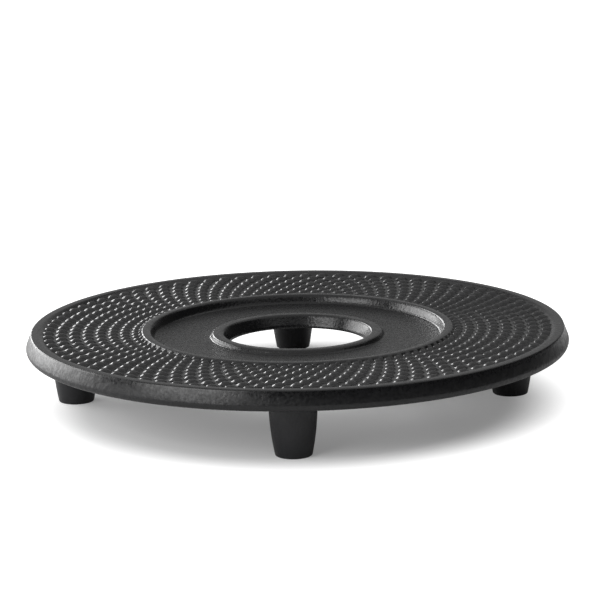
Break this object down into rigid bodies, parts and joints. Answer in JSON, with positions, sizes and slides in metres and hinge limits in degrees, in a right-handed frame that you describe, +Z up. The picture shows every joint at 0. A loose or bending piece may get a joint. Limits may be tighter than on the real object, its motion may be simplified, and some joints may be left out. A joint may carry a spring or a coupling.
{
  "type": "trivet",
  "caption": "Round cast iron trivet with a hobnail band, a raised ring round a shallow well, an open middle and rubber feet.",
  "frame": {"origin": "on the table, under the middle of the hole", "axes": "+Z up, -Y toward the front foot, +X to the right seen from the front"},
  "size_m": [0.15, 0.15, 0.0202],
  "materials": {
    "cast_iron": "black satin enamel on a sand casting",
    "rubber": "smooth moulded black"
  },
  "bodies": {
    "root": {"plate": "cast_iron", "front_foot": "rubber", "right_foot": "rubber", "back_foot": "rubber", "left_foot": "rubber"}
  },
  "joints": []
}
